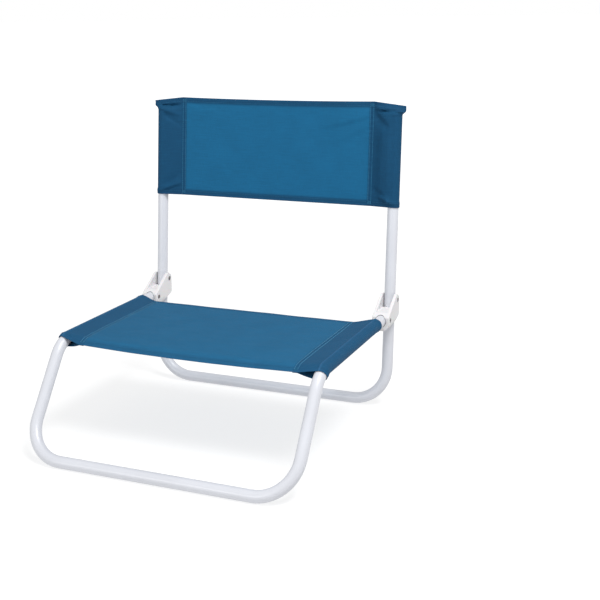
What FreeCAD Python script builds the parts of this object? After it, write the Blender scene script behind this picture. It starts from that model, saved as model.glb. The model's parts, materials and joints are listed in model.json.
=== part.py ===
import FreeCAD, Part
import math
import os

# Low folding camp chair: two bent tubes joined by two moulded hinge brackets, with a cloth sling for
# the seat and one for the back. Millimetres, +Z up, the sitter faces -Y, left is +X. The model is laid
# out from the rear floor bar (y = 0) and moved at the end so that the origin is under the middle of it.

# ---- tube ----
TUBE_D = 19.0
TUBE_WALL = 1.2
TUBE_R = TUBE_D / 2
TUBE_BORE_R = TUBE_R - TUBE_WALL

# ---- front frame: seat rails, front legs and front floor bar ----
HALF_WIDTH = 225.0            # from the middle to the axis of a rail or post
FRONT_BAR_Y = -422.5
KNEE_Y = -312.5               # corner where a rail would meet its leg
RAIL_Z = 165.5
KNEE_BEND_R = 50.0
FLOOR_BEND_R = 62.0

# ---- back frame: posts, rear legs and rear floor bar, one straight-sided U that leans back ----
BACK_LEAN = 5.7               # degrees
POST_LENGTH = 499.0           # from the rear bar's axis to the cut end of the post

# ---- hinge ----
PIVOT_ALONG_POST = 182.5
CHEEK_OUT = 15.0              # outer face of a cheek, from the tube's axis
CHEEK_IN = 10.0
STOP_GAP = 0.3                # between the web and the post that rests on it
SOCKET_FACE_Y = -33.0
RAIL_END_Y = -7.0
MOUTH_GAP = 0.55              # round the rail, where the socket's mouth flares
MOUTH_DEPTH = 3.0
WEB_TOP_REAR_Z = 180.6        # where the folded post comes down
WEB_TOP_FRONT_Z = 177.0
SEAT_RIVET_Y = -22.5
MOULD_ROUND = 1.2             # rounding of the moulded edges
COLLAR_ROUND_Z = 162.5        # below this the block is half round, like a collar under the rail

# side outline of a bracket, (y, z, corner radius)
BRACKET_OUTLINE = [
    (SOCKET_FACE_Y, 147.5, 3.0),
    (SOCKET_FACE_Y, 172.5, 2.0),
    (14.5, 204.0, 7.0),
    (25.6, 197.0, 5.0),
    (25.6, 163.5, 7.0),
    (5.0, 157.0, 12.0),
    (-13.0, 147.5, 8.0),
]

# ---- rivets ----
RIVET_R = 2.5
RIVET_RUN = 0.05              # radial room of the pivot rivet in the post
HEAD_R = 3.9
HEAD_T = 1.3
RECESS_R = 4.3
RECESS_DEPTH = 1.8
CLINCH_R = 3.4
CLINCH_T = 1.0
WASHER_R = 4.1
WASHER_T = 0.6
RIVET_HOLLOW_R = 1.3
MANDREL_R = 1.2
MANDREL_BULB_R = 2.2

# ---- post caps ----
CAP_DOME = 3.0
CAP_PLUG = 14.0
CAP_PLUG_R = TUBE_BORE_R - 0.1

# ---- cloth ----
CLOTH = 1.0                   # thickness of the solids that stand for the cloth
SLEEVE_IN_R = TUBE_R + 0.3
SLEEVE_OUT_R = SLEEVE_IN_R + CLOTH
HEM = 9.0
HEM_EXTRA = 0.5
SEAT_SEAM_X = 190.0
SEAT_RISE = 5.8               # of the panel above the rails' axes, as the sleeves' upper layer is taut
SEAT_SLEEVE_REAR_Y = -57.0
SEAT_PANEL_REAR_Y = -68.5
SEAT_FRONT_TURN = 30.0        # degrees of the knee bend that the cloth follows
BACK_SEAM_X = 185.0
BACK_LOW = 342.5              # along the post, bottom edge of the back sling
BACK_HIGH = 521.0
POCKET_TOP = 504.5            # above this the pocket is pressed flat and closed
EAR_X = 240.0
EAR_HIGH = 514.5              # the closed top slopes down from the seam to here

# ---- thread ----
THREAD = 0.5
ROW_GAP = 5.5                 # between the two rows of a seam
HEM_ROW_IN = 7.5              # from the cloth's edge to the row of its hem

LEAN = math.radians(BACK_LEAN)
KNEE_ANGLE = math.atan2(KNEE_Y - FRONT_BAR_Y, RAIL_Z - TUBE_R)
KNEE_TURN = math.pi / 2 - KNEE_ANGLE
BEND_START_Y = KNEE_Y + KNEE_BEND_R * math.tan(KNEE_TURN / 2)
REARMOST_Y = POCKET_TOP * math.sin(LEAN) + SLEEVE_OUT_R * math.cos(LEAN)
Y_SHIFT = -(FRONT_BAR_Y - TUBE_R + REARMOST_Y) / 2
PIVOT_Y = PIVOT_ALONG_POST * math.sin(LEAN)
PIVOT_Z = TUBE_R + PIVOT_ALONG_POST * math.cos(LEAN)

X_AXIS = FreeCAD.Vector(1, 0, 0)
SIDES = {"left": 1, "right": -1}


def vec(x, y, z):
    return FreeCAD.Vector(x, y, z)


def lean_back(shape):
    """Turn a shape laid out on an upright post to the post's lean, about the rear bar's axis."""
    leaning = shape.copy()
    leaning.translate(vec(0, 0, TUBE_R))
    leaning.rotate(vec(0, 0, TUBE_R), X_AXIS, -BACK_LEAN)
    return leaning


def rounded_path(points, radii):
    """A wire of straight runs joined by tangent arcs; radii belong to the inner points."""
    edges = []
    start = points[0]
    for corner, after, radius in zip(points[1:-1], points[2:], radii):
        back = (start - corner).normalize()
        ahead = (after - corner).normalize()
        half = back.getAngle(ahead) / 2
        reach = radius / math.tan(half)
        arc_in = corner + back * reach
        arc_out = corner + ahead * reach
        middle_way = (back + ahead).normalize()
        arc_mid = corner + middle_way * (radius / math.sin(half) - radius)
        edges.append(Part.LineSegment(start, arc_in).toShape())
        edges.append(Part.Arc(arc_in, arc_mid, arc_out).toShape())
        start = arc_out
    edges.append(Part.LineSegment(start, points[-1]).toShape())
    return Part.Wire(edges)


def rod_along(path, start, direction, radius):
    ring = Part.Wire([Part.makeCircle(radius, start, direction)])
    return path.makePipeShell([ring], True, True)


def bent_tube(points, radii):
    path = rounded_path(points, radii)
    direction = points[1] - points[0]
    outside = rod_along(path, points[0], direction, TUBE_R)
    inside = rod_along(path, points[0], direction, TUBE_BORE_R)
    return outside.cut(inside)


def rounded_outline(corners, x):
    """A closed face in the plane of one x, from (y, z, corner radius)."""
    count = len(corners)
    edges = []
    ends = []
    for index, (y, z, radius) in enumerate(corners):
        corner = vec(x, y, z)
        before = vec(x, *corners[index - 1][:2])
        after = vec(x, *corners[(index + 1) % count][:2])
        back = (before - corner).normalize()
        ahead = (after - corner).normalize()
        half = back.getAngle(ahead) / 2
        reach = radius / math.tan(half)
        middle_way = (back + ahead).normalize()
        arc_mid = corner + middle_way * (radius / math.sin(half) - radius)
        ends.append((corner + back * reach, arc_mid, corner + ahead * reach))
    for index, (arc_in, arc_mid, arc_out) in enumerate(ends):
        edges.append(Part.Arc(arc_in, arc_mid, arc_out).toShape())
        edges.append(Part.LineSegment(arc_out, ends[(index + 1) % count][0]).toShape())
    return Part.Face(Part.Wire(edges))


def pin_along_x(radius, x_from, x_to, y, z):
    return Part.makeCylinder(radius, x_to - x_from, vec(x_from, y, z), X_AXIS)


def front_frame_tube():
    points = []
    for side in (-1, 1):
        half = [
            vec(side * HALF_WIDTH, RAIL_END_Y, RAIL_Z),
            vec(side * HALF_WIDTH, KNEE_Y, RAIL_Z),
            vec(side * HALF_WIDTH, FRONT_BAR_Y, TUBE_R),
        ]
        points += half if side < 0 else half[::-1]
    radii = [KNEE_BEND_R, FLOOR_BEND_R, FLOOR_BEND_R, KNEE_BEND_R]
    tube = bent_tube(points, radii)
    for side in SIDES.values():
        middle = side * HALF_WIDTH
        tube = tube.cut(pin_along_x(RIVET_R, middle - TUBE_D, middle + TUBE_D, SEAT_RIVET_Y, RAIL_Z))
    return tube


def back_frame_tube():
    points = [
        vec(-HALF_WIDTH, 0, POST_LENGTH),
        vec(-HALF_WIDTH, 0, 0),
        vec(HALF_WIDTH, 0, 0),
        vec(HALF_WIDTH, 0, POST_LENGTH),
    ]
    tube = bent_tube(points, [FLOOR_BEND_R, FLOOR_BEND_R])
    for side in SIDES.values():
        middle = side * HALF_WIDTH
        hole_r = RIVET_R + RIVET_RUN
        tube = tube.cut(pin_along_x(hole_r, middle - TUBE_D, middle + TUBE_D, 0, PIVOT_ALONG_POST))
    return lean_back(tube)


def post_slot():
    """The room between the cheeks: for the open post, and above the web for the folded one."""
    web_rear = TUBE_R + STOP_GAP
    length = 2 * PIVOT_ALONG_POST
    slot = Part.makeBox(2 * CHEEK_IN, length, length, vec(-CHEEK_IN, -web_rear, 0))
    slot = lean_back(slot)
    web_top = Part.makePolygon([
        vec(-CHEEK_IN, SOCKET_FACE_Y - TUBE_D, WEB_TOP_FRONT_Z),
        vec(-CHEEK_IN, PIVOT_Y, WEB_TOP_REAR_Z),
        vec(-CHEEK_IN, PIVOT_Y, length),
        vec(-CHEEK_IN, SOCKET_FACE_Y - TUBE_D, length),
        vec(-CHEEK_IN, SOCKET_FACE_Y - TUBE_D, WEB_TOP_FRONT_Z),
    ])
    above_web = Part.Face(web_top).extrude(vec(2 * CHEEK_IN, 0, 0))
    return slot.fuse(above_web)


def collar_envelope():
    """Flat-sided above, half round below, so that the socket reads as a collar round the rail."""
    depth = 2 * PIVOT_Z
    start = vec(0, -PIVOT_Z, COLLAR_ROUND_Z)
    round_part = Part.makeCylinder(CHEEK_OUT, depth, start, vec(0, 1, 0))
    flat_part = Part.makeBox(2 * CHEEK_OUT, depth, depth, vec(-CHEEK_OUT, -PIVOT_Z, COLLAR_ROUND_Z))
    return round_part.fuse(flat_part)


def hinge_bracket():
    """Clevis and socket in one moulding, laid out about x = 0."""
    block = rounded_outline(BRACKET_OUTLINE, -CHEEK_OUT).extrude(vec(2 * CHEEK_OUT, 0, 0))
    long_edges = [edge for edge in block.Edges if is_side_edge(edge)]
    block = block.makeFillet(MOULD_ROUND, long_edges)
    block = block.common(collar_envelope())
    block = block.cut(post_slot())
    rail_socket = Part.makeCylinder(TUBE_R, RAIL_END_Y - SOCKET_FACE_Y, vec(0, SOCKET_FACE_Y, RAIL_Z),
                                    vec(0, 1, 0))
    block = block.cut(rail_socket)
    mouth = Part.makeCylinder(TUBE_R + MOUTH_GAP, MOUTH_DEPTH, vec(0, SOCKET_FACE_Y, RAIL_Z), vec(0, 1, 0))
    block = block.cut(mouth)
    for y, z in ((PIVOT_Y, PIVOT_Z), (SEAT_RIVET_Y, RAIL_Z)):
        block = block.cut(pin_along_x(RIVET_R, -CHEEK_OUT, CHEEK_OUT, y, z))
        block = block.cut(pin_along_x(RECESS_R, CHEEK_OUT - RECESS_DEPTH, CHEEK_OUT, y, z))
        block = block.cut(pin_along_x(RECESS_R, -CHEEK_OUT, RECESS_DEPTH - CHEEK_OUT, y, z))
    return block


def is_side_edge(edge):
    """True for the outline's edges on the two flat sides of the block."""
    xs = [vertex.X for vertex in edge.Vertexes]
    return abs(abs(xs[0]) - CHEEK_OUT) < TUBE_WALL and abs(xs[0] - xs[-1]) < TUBE_WALL


def pivot_rivet():
    """Head in the outer cheek's recess, shank through the post, clinched over the washer."""
    head_seat = CHEEK_OUT - RECESS_DEPTH
    clinch_seat = head_seat + WASHER_T
    rivet = pin_along_x(RIVET_R, -clinch_seat, head_seat, 0, 0)
    rivet = rivet.fuse(pin_along_x(HEAD_R, head_seat, head_seat + HEAD_T, 0, 0))
    rivet = rivet.fuse(pin_along_x(CLINCH_R, -clinch_seat - CLINCH_T, -clinch_seat, 0, 0))
    hollow = pin_along_x(RIVET_HOLLOW_R, -clinch_seat - CLINCH_T, -CHEEK_IN, 0, 0)
    return rivet.cut(hollow)


def pivot_washer():
    seat = CHEEK_OUT - RECESS_DEPTH
    washer = pin_along_x(WASHER_R, -seat - WASHER_T, -seat, 0, 0)
    return washer.cut(pin_along_x(RIVET_R, -seat - WASHER_T, -seat, 0, 0))


def socket_rivet():
    """Blind rivet: head in the outer recess, hollow shank, upset end in the inner recess."""
    head_seat = CHEEK_OUT - RECESS_DEPTH
    rivet = pin_along_x(RIVET_R, -head_seat, head_seat, 0, 0)
    rivet = rivet.fuse(pin_along_x(HEAD_R, head_seat, head_seat + HEAD_T, 0, 0))
    rivet = rivet.fuse(pin_along_x(CLINCH_R, -head_seat - CLINCH_T, -head_seat, 0, 0))
    return rivet.cut(pin_along_x(RIVET_HOLLOW_R, -CHEEK_OUT, CHEEK_OUT, 0, 0))


def socket_rivet_mandrel():
    """Stem that stays in the blind rivet after it is pulled and snapped."""
    upset = -(CHEEK_OUT - RECESS_DEPTH + CLINCH_T)
    stem = pin_along_x(MANDREL_R, upset, CHEEK_IN, 0, 0)
    bulb = Part.makeCone(MANDREL_R, MANDREL_BULB_R, CLINCH_T / 2, vec(upset, 0, 0), vec(-1, 0, 0))
    return stem.fuse(bulb)


def post_cap():
    dome = Part.makeCylinder(TUBE_R, CAP_DOME, vec(0, 0, POST_LENGTH))
    top_edge = [edge for edge in dome.Edges if edge.BoundBox.ZMin > POST_LENGTH + CAP_DOME / 2]
    dome = dome.makeFillet(CAP_DOME * 0.8, top_edge)
    plug = Part.makeCylinder(CAP_PLUG_R, CAP_PLUG, vec(0, 0, POST_LENGTH - CAP_PLUG))
    return dome.fuse(plug)


def teardrop(radius, tip_x, tip_rise):
    """Outline of cloth drawn round a tube at x = HALF_WIDTH and down to a seam nearer the middle."""
    across = HALF_WIDTH - tip_x
    reach = math.hypot(across, tip_rise)
    towards_tip = math.pi - math.atan2(tip_rise, across)
    spread = math.acos(radius / reach)
    upper, lower = [
        vec(HALF_WIDTH + radius * math.cos(angle), 0, radius * math.sin(angle))
        for angle in (towards_tip - spread, towards_tip + spread)
    ]
    seam = vec(tip_x, 0, tip_rise)
    round_side = Part.Arc(upper, vec(HALF_WIDTH + radius, 0, 0), lower).toShape()
    return Part.Face(Part.Wire([
        Part.LineSegment(seam, upper).toShape(),
        round_side,
        Part.LineSegment(lower, seam).toShape(),
    ]))


def sleeve_faces(tip_x, tip_rise):
    """Outer and inner outline of a sleeve, the inner one CLOTH smaller all round."""
    inner_tip = tip_x + CLOTH * (HALF_WIDTH - tip_x) / SLEEVE_OUT_R
    return teardrop(SLEEVE_OUT_R, tip_x, tip_rise), teardrop(SLEEVE_IN_R, inner_tip, tip_rise)


def both_sides(shape):
    """The shape and its mirror image across the middle of the chair."""
    return [shape, shape.mirror(vec(0, 0, 0), X_AXIS)]


def flat_section(x_from, x_to, z_middle, thickness):
    """An upright rectangle across the chair at y = 0."""
    low = z_middle - thickness / 2
    high = z_middle + thickness / 2
    ring = [(x_from, low), (x_to, low), (x_to, high), (x_from, high), (x_from, low)]
    return Part.Face(Part.makePolygon([vec(x, 0, z) for x, z in ring]))


def along_rail(section, rear_y, turn):
    """Carry a section at y = 0 along the rails from rear_y, then round the knee by turn degrees."""
    placed = section.copy()
    placed.translate(vec(0, rear_y, RAIL_Z))
    straight = placed.extrude(vec(0, BEND_START_Y - rear_y, 0))
    return straight.fuse(round_knee(section, 0, turn))


def round_knee(section, turn_from, turn_to):
    placed = section.copy()
    placed.translate(vec(0, BEND_START_Y, RAIL_Z))
    bend_centre = vec(0, BEND_START_Y, RAIL_Z - KNEE_BEND_R)
    placed.rotate(bend_centre, X_AXIS, turn_from)
    return placed.revolve(bend_centre, X_AXIS, turn_to - turn_from)


def turn_for(length):
    """Degrees round the knee that this length of the seat panel takes."""
    return math.degrees(length / (KNEE_BEND_R + SEAT_RISE))


def seat_sling():
    outer, inner = sleeve_faces(SEAT_SEAM_X, SEAT_RISE)
    sleeve = along_rail(outer.cut(inner), SEAT_SLEEVE_REAR_Y, SEAT_FRONT_TURN)
    edge_x = SEAT_SEAM_X + CLOTH
    panel = along_rail(flat_section(-edge_x, edge_x, SEAT_RISE, CLOTH), SEAT_PANEL_REAR_Y, SEAT_FRONT_TURN)
    hem = flat_section(-SEAT_SEAM_X, SEAT_SEAM_X, SEAT_RISE, CLOTH + 2 * HEM_EXTRA)
    front_hem = round_knee(hem, SEAT_FRONT_TURN - turn_for(HEM), SEAT_FRONT_TURN)
    hem.translate(vec(0, SEAT_PANEL_REAR_Y - HEM, RAIL_Z))
    rear_hem = hem.extrude(vec(0, HEM, 0))
    return panel.multiFuse(both_sides(sleeve) + [rear_hem, front_hem]).removeSplitter()


def slab(x_half, low, high, thickness):
    """A flat piece of the upright back cloth, about the plane y = 0."""
    return Part.makeBox(2 * x_half, thickness, high - low, vec(-x_half, -thickness / 2, low))


def back_sling():
    """Laid out upright along Z with its panel in the plane y = 0, then leant back."""
    outer, inner = sleeve_faces(BACK_SEAM_X, 0)
    for face in (outer, inner):
        face.rotate(vec(0, 0, 0), X_AXIS, 90)
        face.translate(vec(0, 0, BACK_LOW))
    pocket = outer.extrude(vec(0, 0, POCKET_TOP - BACK_LOW))
    hollow = inner.extrude(vec(0, 0, POCKET_TOP - CLOTH - BACK_LOW))
    pocket = pocket.cut(hollow)
    panel = slab(BACK_SEAM_X + CLOTH, BACK_LOW, BACK_HIGH, CLOTH)
    hem_thickness = CLOTH + 2 * HEM_EXTRA
    low_hem = slab(BACK_SEAM_X, BACK_LOW, BACK_LOW + HEM, hem_thickness)
    top_outline = Part.makePolygon([
        vec(-EAR_X, -hem_thickness / 2, POCKET_TOP - CLOTH),
        vec(EAR_X, -hem_thickness / 2, POCKET_TOP - CLOTH),
        vec(EAR_X, -hem_thickness / 2, EAR_HIGH),
        vec(BACK_SEAM_X, -hem_thickness / 2, BACK_HIGH),
        vec(-BACK_SEAM_X, -hem_thickness / 2, BACK_HIGH),
        vec(-EAR_X, -hem_thickness / 2, EAR_HIGH),
        vec(-EAR_X, -hem_thickness / 2, POCKET_TOP - CLOTH),
    ])
    closed_top = Part.Face(top_outline).extrude(vec(0, hem_thickness, 0))
    sling = panel.multiFuse(both_sides(pocket) + [low_hem, closed_top]).removeSplitter()
    return lean_back(sling)


def seam_rows(seam_x):
    """The x of the two rows of a seam, just inside the seam line."""
    return [seam_x - THREAD, seam_x - THREAD - ROW_GAP]


def row_section(x_from, x_to, face):
    return flat_section(x_from, x_to, SEAT_RISE + face, THREAD)


def seat_seam_stitching():
    rows = []
    for x in seam_rows(SEAT_SEAM_X):
        for face in (CLOTH / 2 + THREAD / 2, -CLOTH / 2 - THREAD / 2):
            section = row_section(x - THREAD, x, face)
            row = along_rail(section, SEAT_PANEL_REAR_Y - HEM, SEAT_FRONT_TURN - turn_for(HEM))
            rows += both_sides(row)
    return Part.makeCompound(rows)


def hem_row_reach(seam_x):
    return seam_rows(seam_x)[-1] - ROW_GAP


def seat_hem_stitching():
    rows = []
    reach = hem_row_reach(SEAT_SEAM_X)
    outside = CLOTH / 2 + HEM_EXTRA + THREAD / 2
    front_turn = SEAT_FRONT_TURN - turn_for(HEM_ROW_IN)
    for face in (outside, -outside):
        section = row_section(-reach, reach, face)
        rows.append(round_knee(section, front_turn, front_turn + turn_for(THREAD)))
        section.translate(vec(0, SEAT_PANEL_REAR_Y - HEM_ROW_IN, RAIL_Z))
        rows.append(section.extrude(vec(0, THREAD, 0)))
    return Part.makeCompound(rows)


def upright_row(x_from, x_to, face, low, high):
    """A row on the back cloth; face is the y of its middle."""
    return Part.makeBox(x_to - x_from, THREAD, high - low, vec(x_from, face - THREAD / 2, low))


def back_seam_stitching():
    rows = []
    for x in seam_rows(BACK_SEAM_X):
        for face in (CLOTH / 2 + THREAD / 2, -CLOTH / 2 - THREAD / 2):
            rows += both_sides(upright_row(x - THREAD, x, face, BACK_LOW + HEM, POCKET_TOP - CLOTH))
    return lean_back(Part.makeCompound(rows))


def back_hem_stitching():
    rows = []
    reach = hem_row_reach(BACK_SEAM_X)
    outside = CLOTH / 2 + HEM_EXTRA + THREAD / 2
    for face in (outside, -outside):
        for low in (BACK_LOW + HEM_ROW_IN, BACK_HIGH - HEM_ROW_IN):
            rows.append(upright_row(-reach, reach, face, low, low + THREAD))
    return lean_back(Part.makeCompound(rows))


def on_side(shape, side, y=0.0, z=0.0):
    """Put a piece laid out for the left side on a rail's or post's axis, mirrored for the right."""
    placed = shape.copy()
    placed.translate(vec(HALF_WIDTH, y, z))
    if side < 0:
        placed = placed.mirror(vec(0, 0, 0), X_AXIS)
    return placed


def pieces():
    made = {
        "front_frame_tube": front_frame_tube(),
        "back_frame_tube": back_frame_tube(),
        "seat_sling": seat_sling(),
        "back_sling": back_sling(),
        "seat_sling_seam_stitching": seat_seam_stitching(),
        "seat_sling_hem_stitching": seat_hem_stitching(),
        "back_sling_seam_stitching": back_seam_stitching(),
        "back_sling_hem_stitching": back_hem_stitching(),
    }
    for name, side in SIDES.items():
        made["hinge_bracket_" + name] = on_side(hinge_bracket(), side)
        made["pivot_rivet_" + name] = on_side(pivot_rivet(), side, PIVOT_Y, PIVOT_Z)
        made["pivot_washer_" + name] = on_side(pivot_washer(), side, PIVOT_Y, PIVOT_Z)
        made["socket_rivet_" + name] = on_side(socket_rivet(), side, SEAT_RIVET_Y, RAIL_Z)
        made["socket_rivet_mandrel_" + name] = on_side(socket_rivet_mandrel(), side, SEAT_RIVET_Y, RAIL_Z)
        made["post_cap_" + name] = lean_back(on_side(post_cap(), side))
    return made


os.makedirs("parts", exist_ok=True)
for node, shape in pieces().items():
    shape.translate(vec(0, Y_SHIFT, 0))
    shape.exportStep("parts/" + node + ".step")
    box = shape.BoundBox
    print(node, "valid", shape.isValid(), "solids", len(shape.Solids), "volume", round(shape.Volume),
          "x", round(box.XMin, 1), round(box.XMax, 1), "y", round(box.YMin, 1), round(box.YMax, 1),
          "z", round(box.ZMin, 1), round(box.ZMax, 1))
print("pivot", 0, round(PIVOT_Y + Y_SHIFT, 4), round(PIVOT_Z, 4), "shift", round(Y_SHIFT, 4))
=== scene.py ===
import json
import math

import bpy
from mathutils import Matrix, Quaternion, Vector, noise


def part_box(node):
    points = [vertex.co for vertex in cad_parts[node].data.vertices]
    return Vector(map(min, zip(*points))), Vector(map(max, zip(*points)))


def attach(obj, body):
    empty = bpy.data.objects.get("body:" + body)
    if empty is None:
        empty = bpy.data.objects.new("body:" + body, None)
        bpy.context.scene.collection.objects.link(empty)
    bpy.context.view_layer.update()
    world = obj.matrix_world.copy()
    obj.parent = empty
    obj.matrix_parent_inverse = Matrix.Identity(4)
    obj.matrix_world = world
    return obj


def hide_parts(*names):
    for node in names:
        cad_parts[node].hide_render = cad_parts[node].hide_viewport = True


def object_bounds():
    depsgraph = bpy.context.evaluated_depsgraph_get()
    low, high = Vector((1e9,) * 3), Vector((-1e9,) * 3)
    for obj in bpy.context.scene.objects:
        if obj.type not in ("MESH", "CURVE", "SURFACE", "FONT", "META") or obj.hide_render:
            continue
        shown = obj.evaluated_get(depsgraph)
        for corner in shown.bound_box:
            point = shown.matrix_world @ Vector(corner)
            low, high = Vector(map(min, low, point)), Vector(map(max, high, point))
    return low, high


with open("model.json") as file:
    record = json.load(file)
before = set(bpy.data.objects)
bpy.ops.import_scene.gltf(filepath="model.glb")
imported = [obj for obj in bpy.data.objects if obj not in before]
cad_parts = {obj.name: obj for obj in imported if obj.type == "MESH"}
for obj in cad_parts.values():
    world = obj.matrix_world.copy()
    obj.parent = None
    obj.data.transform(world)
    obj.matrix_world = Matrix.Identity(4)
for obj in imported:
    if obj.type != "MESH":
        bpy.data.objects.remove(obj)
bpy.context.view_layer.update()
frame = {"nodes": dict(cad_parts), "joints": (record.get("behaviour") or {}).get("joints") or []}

# Looks of the low folding chair: two white bent tubes, two moulded brackets with their rivets, and a
# seat and a back of blue woven cloth with folded sleeves, hems and real stitches. Metres throughout.

# ---- places read from the frame ----
TUBE_R = 0.0095
front_low, front_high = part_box("front_frame_tube")
back_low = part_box("back_frame_tube")[0]
PIVOT = Vector(frame["joints"][0]["pos_m"])
HALF_WIDTH = front_high.x - TUBE_R
RAIL_Z = front_high.z - TUBE_R
FRONT_BAR_Y = front_low.y + TUBE_R
REAR_BAR_Y = back_low.y + TUBE_R
LEAN = math.atan2(PIVOT.y - REAR_BAR_Y, PIVOT.z - TUBE_R)

# ---- shape of the front frame that the seat follows ----
MOUTH_GAP = 0.00055           # round the rail, where the socket's mouth flares
KNEE_BEND_R = 0.050
KNEE_Y = FRONT_BAR_Y + 0.110
KNEE_TURN = math.pi / 2 - math.atan2(KNEE_Y - FRONT_BAR_Y, RAIL_Z - TUBE_R)
BEND_START_Y = KNEE_Y + KNEE_BEND_R * math.tan(KNEE_TURN / 2)

# ---- cloth ----
CLOTH = 0.0005                # thickness of one layer
LAYER = 0.00062               # from the middle of one layer to the middle of the next
SLEEVE_R = 0.01015            # middle of the cloth round a tube
HEM = 0.0085
HEM_SLOPE_BEFORE = 0.001      # a hem's thickness dies out from this far before its raw edge
HEM_SLOPE_AFTER = 0.004       # to this far past it
LAYER_STOPS = 0.85            # share of the light through one layer that a second layer stops
FLAP = 0.0078                 # seam allowance that lies against the panel
FLAP_EDGE_BEFORE = 0.0008     # the flap's shade fades in from this far before its raw edge
FLAP_EDGE_AFTER = 0.0004      # to this far past it
SEAT_HEM_SHADE = 0.6          # the seat's hems carry this share of the painted shade that the back's do
UNDER_SLACK = 0.0020          # how far the lower layer of a seat sleeve hangs
SLACK_END = 0.6               # share of the sleeve's radius inside the rail's axis where that ends
SEAT_SEAM_X = 0.190
SEAT_RISE = 0.0058            # of the seat panel above the rails' axes
SEAT_SLEEVE_REAR_Y = REAR_BAR_Y - 0.057
SEAT_PANEL_REAR_Y = REAR_BAR_Y - 0.0685
SEAT_FRONT_TURN = math.radians(30.0)
SEAT_FRONT_DROP = 0.0024      # of the front edge, midway between the seams
SEAT_FRONT_DRAW = {-1: 0.0102, 1: 0.0034}   # back from the front edge, at the outer folds
RAIL_CREASE = 0.0010
RAIL_CREASE_HALF = 0.0012     # half its width
KNEE_CREASE_SOFT = math.radians(2.2)   # turn over which the cloth creases across the knee
KNEE_LIFT_NONE = -0.3         # heights over the rail's axis, as shares of the sleeve's radius,
KNEE_LIFT_FULL = 0.9          # between which the cloth lifts off the knee's bend
BACK_SEAM_X = 0.185
BACK_LOW = 0.3425             # along the post from the rear bar's axis
BACK_HIGH = 0.521
BACK_HIGH_SAG = 0.0018
EAR_HIGH = 0.5145
TOP_ROLL = 0.0016             # the pockets' top edge rolls forward
TOP_ROLL_REACH = 0.0042       # over this much of the cloth under the edge
EDGE_CREASE = 0.5             # how far the back's folded edges go to the crease's lighter colour, of a full crease
EDGE_CREASE_HALF = 0.0009
DOME_START = 0.4985           # the pocket closes over the post's cap from here
DOME_END = 0.5060
PRESS_START = DOME_START + 0.001   # its front and rear begin to spread flat from here
CAP_HEIGHT = 0.0045           # of the cap's dome and the cloth on it, over the start of the dome

# ---- unevenness of the cloth ----
SEAT_SAG = 0.0008
SEAT_SAG_FRONT = 0.0022       # more of it towards the front edge
SEAT_SAG_REAR = 0.0002        # less of it towards the rear edge
SEAT_FRONT_PART = 0.72        # share of the depth where the front's sag begins
SEAT_REAR_PART = 0.25         # share of the depth where the rear's ends
SEAT_CALM = 0.010             # the unevenness has died out this far inside the rails' axes
BACK_HOLLOW = 0.0022
BACK_HOLLOW_BLUNT = 0.6       # power that gives the hollow a broad middle
BACK_CALM_BEFORE = 0.001      # the panel's unevenness dies out from this far before the seam line
BACK_CALM_AFTER = 0.002       # to this far past it
POCKET_CALM = 0.004           # a pocket's creases start over this much of the cloth past its seam
POST_PRESS = 0.7              # share of a crease that the post presses out
PUCKER_IN = 0.003             # middle of the puckers, in from the seam line
PUCKER_SPREAD = 0.007
PUCKER_FINE = 40.0
STITCH_DIP = 0.00012
STITCH_DIP_HALF = 0.0006
PLEAT_SLOW_SIDE = 2.4         # reach of a crease's two sides, in its widths
PLEAT_STEEP_SIDE = 0.8
PLEAT_LEAN = 0.8              # under 1, so that a crease is highest near its start
PLEAT_BLUNT = 0.6

# ripples, each (height, stretch across, stretch along, how many to the metre, seed)
SEAT_RIPPLES = [(0.00060, 1.0, 1.0, 16.0, 3.1), (0.00030, 0.35, 1.0, 60.0, 7.7)]
BACK_RIPPLES = [(0.00040, 1.0, 1.0, 14.0, 5.4), (0.00020, 1.0, 0.4, 55.0, 9.2)]
POCKET_RIPPLES = [(0.0002, 1.0, 1.0, 70.0, 2.2)]

# puckers of a seam: height, pitch, how far they wander and seed
SEAT_PUCKERS = (0.00016, 0.0092, 2.2, 1.3)
BACK_PUCKERS = (0.00018, 0.0088, 2.0, 4.3)

# ---- mesh of the cloth ----
PANEL_COLUMNS = 44            # from the middle of a panel to its seam
RUN_OUT_COLUMNS = 14          # from the seam to the tube
ROUND_COLUMNS = 30            # round the tube
RUN_BACK_COLUMNS = 12         # from the tube back to the seam
FLAP_COLUMNS = 6
ROW_FLANK = 0.0009            # a column each side of a row of stitches
SEAT_MESH_ROWS = 84
BACK_MESH_ROWS = 92
CLOTH_SHARP_DEGREES = 50
THREAD_SHARP_DEGREES = 70

# a folded hem, from its raw edge round its fold: (in from the fold, share of a layer behind the face)
HEM_FOLD = [(HEM, 1.0), (HEM * 0.55, 1.0), (0.0012, 1.0), (0.0004, 0.93), (0.0, 0.74), (-0.00012, 0.5),
            (0.0, 0.26), (0.0004, 0.07), (0.0012, 0.0)]

# ---- thread ----
THREAD_R = 0.00029
STITCH = 0.0026
STITCH_PITCH = 0.0034
STITCH_SIDES = 7
SEAM_ROWS = (0.0006, 0.0061)  # in from the seam line
HEM_ROW = 0.0070              # in from the cloth's edge
SEAT_SEAM_STOP = 0.0045       # the seams' rows stop this far from the cloth's edges
BACK_SEAM_STOP = 0.003
HEM_ROW_STOP = 0.003          # a hem's row stops this far from the seams' inner rows
SLEEVE_ROW_STOP = 0.002       # and starts again this far past the seam line
EAR_ROW_STOP = 0.003          # and leaves this much free each side of a pocket's outer fold
TACK_START = 0.0030           # bar tacks, in from the cloth's edge
TACK_END = 0.0085
TACK_TURNS = 7

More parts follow.
